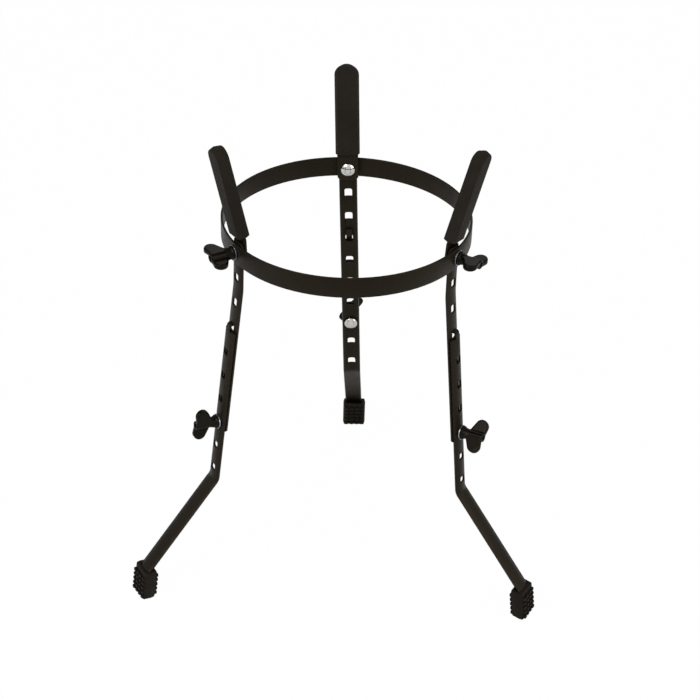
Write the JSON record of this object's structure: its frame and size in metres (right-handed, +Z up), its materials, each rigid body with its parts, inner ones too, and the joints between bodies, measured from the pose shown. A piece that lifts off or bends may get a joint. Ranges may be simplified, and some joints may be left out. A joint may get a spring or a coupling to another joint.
{
  "type": "adjustable drum stand",
  "caption": "Open ring on telescoping legs with padded arms above it; wing knobs clamp the arms and legs, and hooked lower legs set its height.",
  "frame": {"origin": "on the floor, at the middle of the stand's footprint box", "axes": "+Z up; the open front of the stand faces -Y, with one leg at the back (+Y) and one at each front side"},
  "size_m": [0.5664, 0.4788, 0.6815],
  "materials": {
    "powder_coat": "satin black powder coat with fine orange peel",
    "pad_rubber": "dull black moulded rubber",
    "boot_rubber": "dull black moulded rubber",
    "knob_plastic": "semi-gloss black moulded plastic",
    "bolt_chrome": "bright plated",
    "washer_zinc": "bright zinc plate",
    "insert_brass": "turned"
  },
  "bodies": {
    "ring": {"ring": "powder_coat"},
    "back_arm": {"back_arm": "powder_coat", "back_pad": "pad_rubber", "back_ring_bolt": "bolt_chrome"},
    "back_upper_leg": {"back_upper_leg": "powder_coat", "back_leg_bolt": "bolt_chrome"},
    "back_lower_leg": {"back_lower_leg": "powder_coat", "back_foot": "boot_rubber"},
    "back_ring_washer": {"back_ring_washer": "washer_zinc"},
    "back_ring_knob": {"back_ring_knob": "knob_plastic", "back_ring_knob_insert": "insert_brass"},
    "back_leg_washer": {"back_leg_washer": "washer_zinc"},
    "back_leg_knob": {"back_leg_knob": "knob_plastic", "back_leg_knob_insert": "insert_brass"},
    "left_arm": {"left_arm": "powder_coat", "left_pad": "pad_rubber", "left_ring_bolt": "bolt_chrome"},
    "left_upper_leg": {"left_upper_leg": "powder_coat", "left_leg_bolt": "bolt_chrome"},
    "left_lower_leg": {"left_lower_leg": "powder_coat", "left_foot": "boot_rubber"},
    "left_ring_washer": {"left_ring_washer": "washer_zinc"},
    "left_ring_knob": {"left_ring_knob": "knob_plastic", "left_ring_knob_insert": "insert_brass"},
    "left_leg_washer": {"left_leg_washer": "washer_zinc"},
    "left_leg_knob": {"left_leg_knob": "knob_plastic", "left_leg_knob_insert": "insert_brass"},
    "right_arm": {"right_arm": "powder_coat", "right_pad": "pad_rubber", "right_ring_bolt": "bolt_chrome"},
    "right_upper_leg": {"right_upper_leg": "powder_coat", "right_leg_bolt": "bolt_chrome"},
    "right_lower_leg": {"right_lower_leg": "powder_coat", "right_foot": "boot_rubber"},
    "right_ring_washer": {"right_ring_washer": "washer_zinc"},
    "right_ring_knob": {"right_ring_knob": "knob_plastic", "right_ring_knob_insert": "insert_brass"},
    "right_leg_washer": {"right_leg_washer": "washer_zinc"},
    "right_leg_knob": {"right_leg_knob": "knob_plastic", "right_leg_knob_insert": "insert_brass"}
  },
  "joints": [
    {"name": "back_arm_swing", "type": "hinge", "parent": "ring", "child": "back_arm", "pos_m": [0.00688, 0.09079, 0.53298], "axis": [0, 1, 0], "range_deg": [-18, 22]},
    {"name": "back_leg_swing", "type": "hinge", "parent": "ring", "child": "back_upper_leg", "pos_m": [0.00688, 0.09079, 0.53298], "axis": [0, 1, 0], "range_deg": [-27.9, 32.1]},
    {"name": "back_ring_washer_travel", "type": "slide", "parent": "back_arm", "child": "back_ring_washer", "axis": [0, 1, 0], "range_m": [0, 0.01]},
    {"name": "back_ring_knob_turn", "type": "hinge", "parent": "back_ring_washer", "child": "back_ring_knob", "pos_m": [0.00688, 0.09409, 0.53298], "axis": [0, -1, 0], "range_deg": [0, 2880]},
    {"name": "back_leg_washer_travel", "type": "slide", "parent": "back_upper_leg", "child": "back_leg_washer", "axis": [-0.0035, 0.9954, 0.0958], "range_m": [0, 0.01]},
    {"name": "back_leg_knob_turn", "type": "hinge", "parent": "back_leg_washer", "child": "back_leg_knob", "pos_m": [0.01661, 0.11599, 0.26753], "axis": [0.0035, -0.9954, -0.0958], "range_deg": [0, 2880]},
    {"name": "back_leg_tip", "type": "hinge", "parent": "back_upper_leg", "child": "back_lower_leg", "pos_m": [0.01086, 0.09405, 0.42445], "axis": [0.9993, 0, 0.0366], "range_deg": [0, 3.45]},
    {"name": "left_arm_swing", "type": "hinge", "parent": "ring", "child": "left_arm", "pos_m": [-0.13342, -0.15221, 0.53298], "axis": [-0.866, -0.5, 0], "range_deg": [-25.5, 14.5]},
    {"name": "left_leg_swing", "type": "hinge", "parent": "ring", "child": "left_upper_leg", "pos_m": [-0.13342, -0.15221, 0.53298], "axis": [-0.866, -0.5, 0], "range_deg": [-27, 33]},
    {"name": "left_ring_washer_travel", "type": "slide", "parent": "left_arm", "child": "left_ring_washer", "axis": [-0.866, -0.5, 0], "range_m": [0, 0.01]},
    {"name": "left_ring_knob_turn", "type": "hinge", "parent": "left_ring_washer", "child": "left_ring_knob", "pos_m": [-0.13627, -0.15386, 0.53298], "axis": [0.866, 0.5, 0], "range_deg": [0, 2880]},
    {"name": "left_leg_washer_travel", "type": "slide", "parent": "left_upper_leg", "child": "left_leg_washer", "axis": [-0.8595, -0.502, 0.0957], "range_m": [0, 0.01]},
    {"name": "left_leg_knob_turn", "type": "hinge", "parent": "left_leg_washer", "child": "left_leg_knob", "pos_m": [-0.16219, -0.15277, 0.26772], "axis": [0.8595, 0.502, -0.0957], "range_deg": [0, 2880]},
    {"name": "left_leg_tip", "type": "hinge", "parent": "left_upper_leg", "child": "left_lower_leg", "pos_m": [-0.13908, -0.14892, 0.42452], "axis": [-0.4993, 0.8648, 0.0523], "range_deg": [0, 3.45]},
    {"name": "right_arm_swing", "type": "hinge", "parent": "ring", "child": "right_arm", "pos_m": [0.14718, -0.15221, 0.53298], "axis": [0.866, -0.5, 0], "range_deg": [-10.5, 29.5]},
    {"name": "right_leg_swing", "type": "hinge", "parent": "ring", "child": "right_upper_leg", "pos_m": [0.14718, -0.15221, 0.53298], "axis": [0.866, -0.5, 0], "range_deg": [-30, 30]},
    {"name": "right_ring_washer_travel", "type": "slide", "parent": "right_arm", "child": "right_ring_washer", "axis": [0.866, -0.5, 0], "range_m": [0, 0.01]},
    {"name": "right_ring_knob_turn", "type": "hinge", "parent": "right_ring_washer", "child": "right_ring_knob", "pos_m": [0.15004, -0.15386, 0.53298], "axis": [-0.866, 0.5, 0], "range_deg": [0, 2880]},
    {"name": "right_leg_washer_travel", "type": "slide", "parent": "right_upper_leg", "child": "right_leg_washer", "axis": [0.862, -0.4977, 0.0958], "range_m": [0, 0.01]},
    {"name": "right_leg_knob_turn", "type": "hinge", "parent": "right_leg_washer", "child": "right_leg_knob", "pos_m": [0.169, -0.16481, 0.26735], "axis": [-0.862, 0.4977, -0.0958], "range_deg": [0, 2880]},
    {"name": "right_leg_tip", "type": "hinge", "parent": "right_upper_leg", "child": "right_lower_leg", "pos_m": [0.15, -0.15384, 0.42437], "axis": [-0.5, -0.866, 0], "range_deg": [0, 3.45]}
  ],
  "couplings": [
    {"joint": "back_ring_knob_turn", "follows": "back_ring_washer_travel", "rad_per_m": 5026.5},
    {"joint": "back_leg_knob_turn", "follows": "back_leg_washer_travel", "rad_per_m": 5026.5},
    {"joint": "back_leg_tip", "follows": "back_leg_washer_travel", "rad_per_m": 5.9294},
    {"joint": "left_ring_knob_turn", "follows": "left_ring_washer_travel", "rad_per_m": 5026.5},
    {"joint": "left_leg_knob_turn", "follows": "left_leg_washer_travel", "rad_per_m": 5026.5},
    {"joint": "left_leg_tip", "follows": "left_leg_washer_travel", "rad_per_m": 5.9294},
    {"joint": "right_ring_knob_turn", "follows": "right_ring_washer_travel", "rad_per_m": 5026.5},
    {"joint": "right_leg_knob_turn", "follows": "right_leg_washer_travel", "rad_per_m": 5026.5},
    {"joint": "right_leg_tip", "follows": "right_leg_washer_travel", "rad_per_m": 5.9294}
  ]
}
